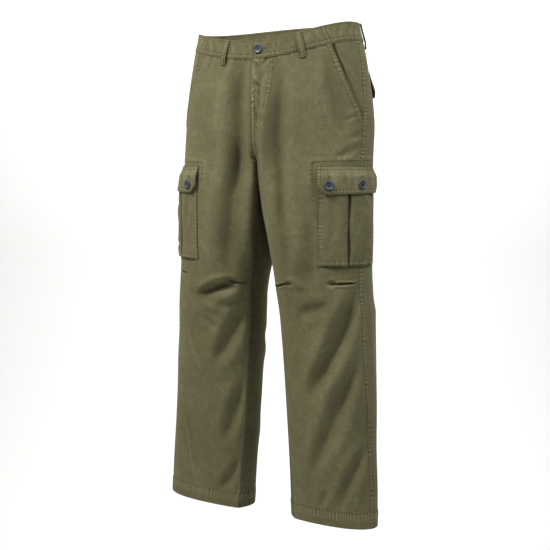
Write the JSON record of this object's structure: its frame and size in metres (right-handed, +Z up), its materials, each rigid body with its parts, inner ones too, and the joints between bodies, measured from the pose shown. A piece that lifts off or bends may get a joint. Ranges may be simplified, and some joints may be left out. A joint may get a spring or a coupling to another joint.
{
  "type": "cargo pants",
  "caption": "Straight-leg cargo pants in worn hollow form, with a waistband, belt loops, slant pockets, flapped pleated thigh pockets and stitched hems.",
  "frame": {"origin": "centre of the waist opening, at the height of the waistband's top edge at the sides", "axes": "+Z up, the front faces -Y, the wearer's left is +X"},
  "size_m": [0.5056, 0.2387, 1.0551],
  "materials": {
    "twill": "matte washed cotton twill, olive",
    "trim": "matte washed cotton twill, olive, band and flaps",
    "button": "satin dark slate"
  },
  "bodies": {
    "root": {"back_button_left": "button", "back_button_right": "button", "back_flap_left": "trim", "back_flap_right": "trim", "back_left": "twill", "back_right": "twill", "belt_loop_back": "trim", "belt_loop_front_left": "trim", "belt_loop_front_right": "trim", "belt_loop_side_left": "trim", "belt_loop_side_right": "trim", "cargo_button_left_back": "button", "cargo_button_left_front": "button", "cargo_button_right_back": "button", "cargo_button_right_front": "button", "cargo_flap_left": "trim", "cargo_flap_right": "trim", "cargo_pocket_left": "twill", "cargo_pocket_right": "twill", "fly_flap": "trim", "front_left": "twill", "front_right": "twill", "hip_panel_left": "trim", "hip_panel_right": "trim", "waist_button": "button", "waistband_back": "trim", "waistband_front_left": "trim", "waistband_front_right": "trim"}
  },
  "joints": []
}
